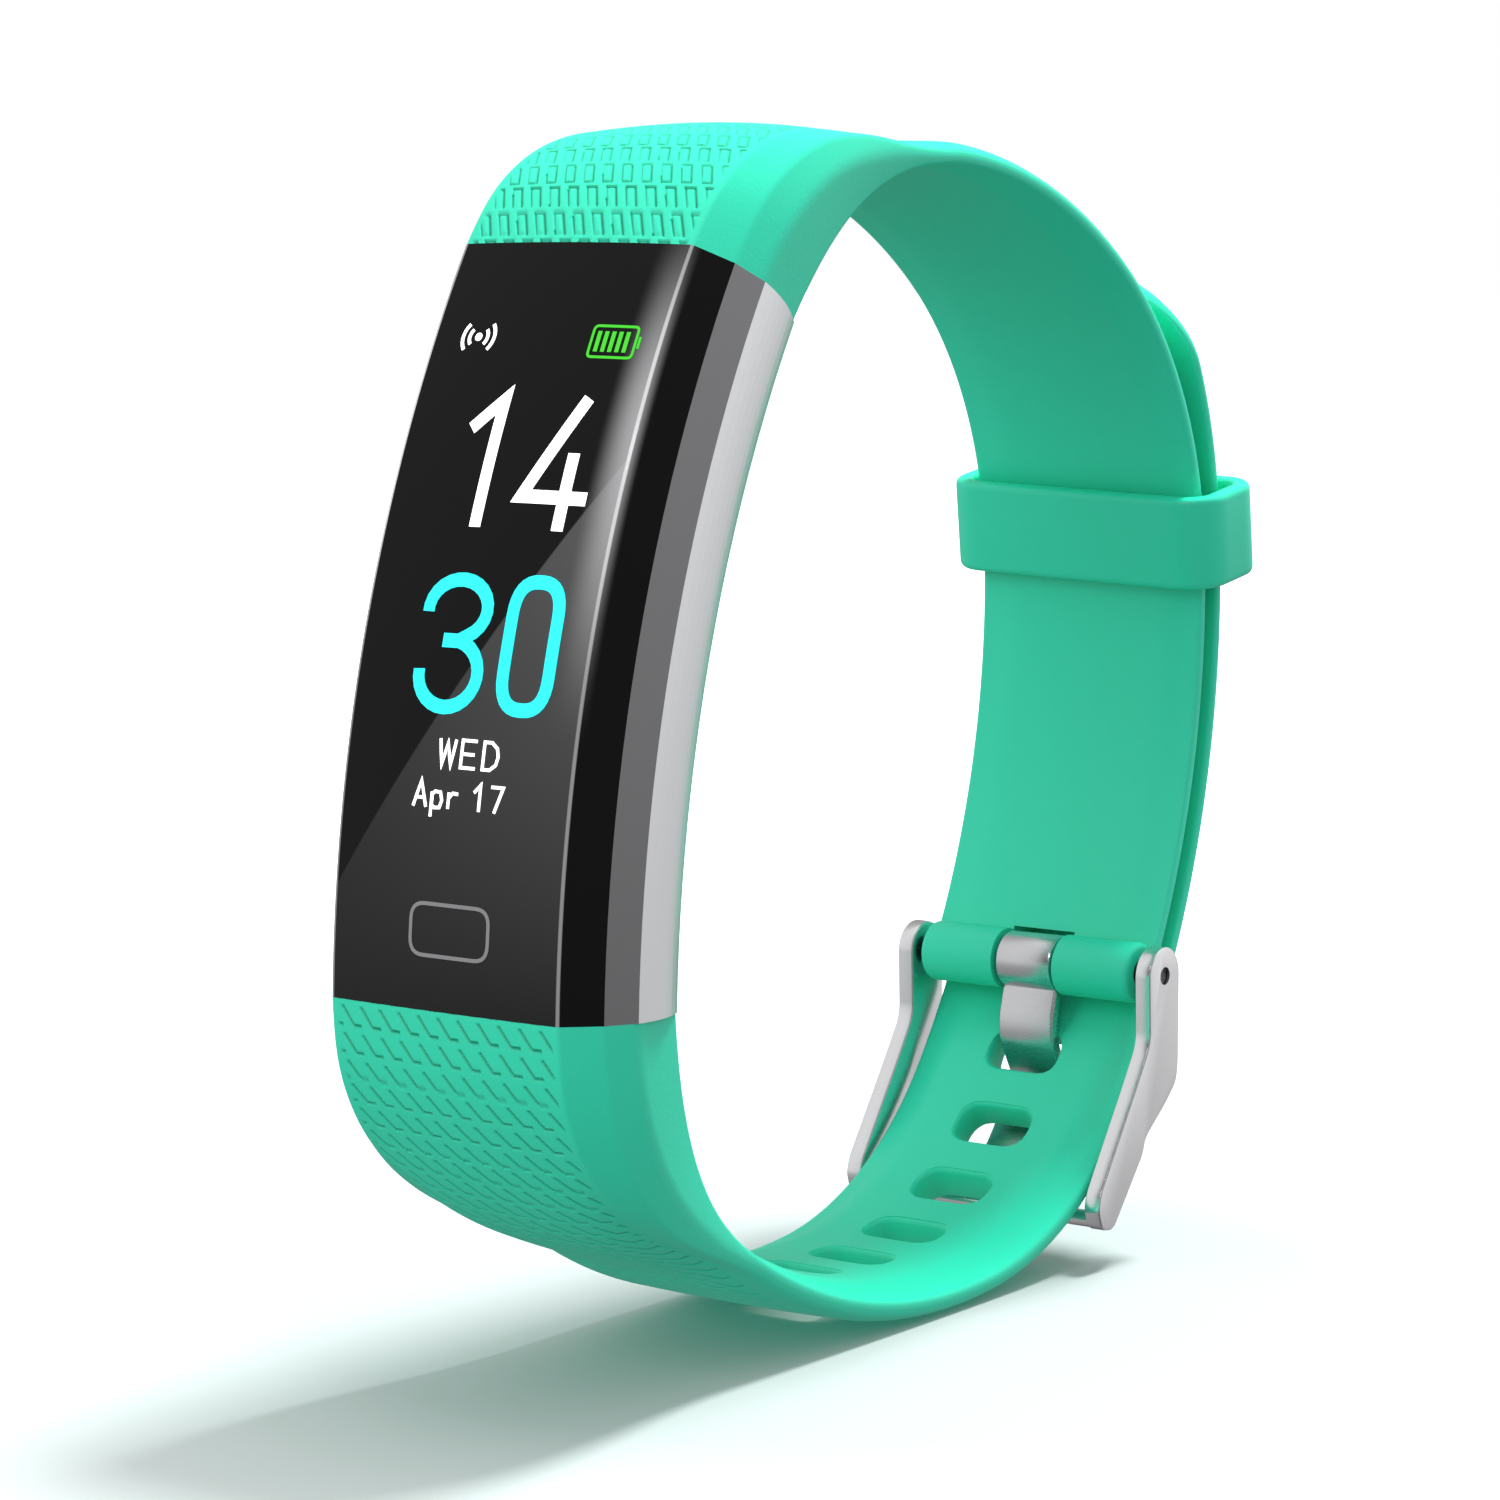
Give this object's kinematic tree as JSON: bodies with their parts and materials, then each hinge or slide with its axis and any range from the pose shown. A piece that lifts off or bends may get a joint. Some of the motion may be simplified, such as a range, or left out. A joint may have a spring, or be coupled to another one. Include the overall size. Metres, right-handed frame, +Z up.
{
  "type": "fitness tracker band",
  "caption": "Fitness tracker wristband, closed: curved glass-fronted case, textured TPU straps, sliding keeper and pin buckle with sprung bar.",
  "frame": {"origin": "under the middle of the closed loop, on the surface that the band stands on", "axes": "+X along the wrist towards the right side of the display, +Y from the display to the buckle, +Z up"},
  "size_m": [0.0198, 0.068, 0.0674],
  "materials": {
    "cover_glass": "black-printed curved cover glass",
    "dark_bezel": "dark grey satin",
    "silver_trim": "silver plated satin",
    "black_plastic": "fine matte",
    "gasket": "matte",
    "sensor_window": "polished dark window",
    "circuit_board": "green solder mask",
    "sensor_led": "clear green",
    "chip_plastic": "moulded black",
    "display": "dark panel",
    "flex_cable": "amber film",
    "copper": "etched copper",
    "battery_foil": "silver pouch foil",
    "motor_steel": "drawn steel",
    "motor_weight": "sintered heavy metal",
    "gold_contact": "gold flash",
    "strap_tpu": "satin mint-green TPU",
    "spring_bar_steel": "turned",
    "spring_steel": "drawn wire",
    "buckle_steel": "brushed faces with polished bevels",
    "tongue_steel": "brushed"
  },
  "bodies": {
    "tracker": {"cover_glass": "cover_glass", "bezel_frame": "dark_bezel", "side_trim_left": "silver_trim", "side_trim_right": "silver_trim", "back_cover": "black_plastic", "case_gasket": "gasket", "sensor_window": "sensor_window", "sensor_board": "circuit_board", "sensor_leds": "sensor_led", "photodiode": "chip_plastic", "display_panel": "display", "display_cable": "flex_cable", "touch_electrode": "copper", "main_board": "circuit_board", "board_chips": "chip_plastic", "battery": "battery_foil", "motor_can": "motor_steel", "usb_plug": "black_plastic", "usb_contacts": "gold_contact", "end_tab": "black_plastic", "buckle_strap": "strap_tpu", "hole_strap": "strap_tpu", "spring_bar_tube": "spring_bar_steel", "spring_bar_spring": "spring_steel"},
    "motor_rotor": {"motor_rotor": "motor_weight"},
    "keeper": {"keeper": "strap_tpu"},
    "spring_bar_pin_left": {"spring_bar_pin_left": "spring_bar_steel"},
    "spring_bar_pin_right": {"spring_bar_pin_right": "spring_bar_steel"},
    "buckle_frame": {"buckle_frame": "buckle_steel"},
    "buckle_tongue": {"buckle_tongue": "tongue_steel"}
  },
  "joints": [
    {"name": "motor_spin", "type": "hinge", "parent": "tracker", "child": "motor_rotor", "pos_m": [0, -0.02808, 0.03303], "axis": [0, -0.9598, 0.2807], "continuous": true},
    {"name": "keeper_slide", "type": "hinge", "parent": "tracker", "child": "keeper", "pos_m": [0, -0.01874, 0.03922], "axis": [1, 0, 0], "range_deg": [-18, 0]},
    {"name": "spring_bar_pin_left", "type": "slide", "parent": "tracker", "child": "spring_bar_pin_left", "axis": [1, 0, 0], "range_m": [0, 0.001], "stiffness_N_per_m": 300, "springref_m": -0.002, "deforming": ["spring_bar_spring"]},
    {"name": "spring_bar_pin_right", "type": "slide", "parent": "tracker", "child": "spring_bar_pin_right", "axis": [-1, 0, 0], "range_m": [0, 0.001], "stiffness_N_per_m": 300, "springref_m": -0.002, "deforming": ["spring_bar_spring"]},
    {"name": "buckle_frame_pivot", "type": "hinge", "parent": "tracker", "child": "buckle_frame", "pos_m": [0, 0.02273, 0.01689], "axis": [1, 0, 0], "range_deg": [0, 1.2]},
    {"name": "buckle_tongue_pivot", "type": "hinge", "parent": "tracker", "child": "buckle_tongue", "pos_m": [0, 0.02273, 0.01689], "axis": [1, 0, 0], "range_deg": [0, 1.2]}
  ],
  "couplings": [
    {"joint": "buckle_tongue_pivot", "follows": "buckle_frame_pivot", "ratio": 1}
  ]
}
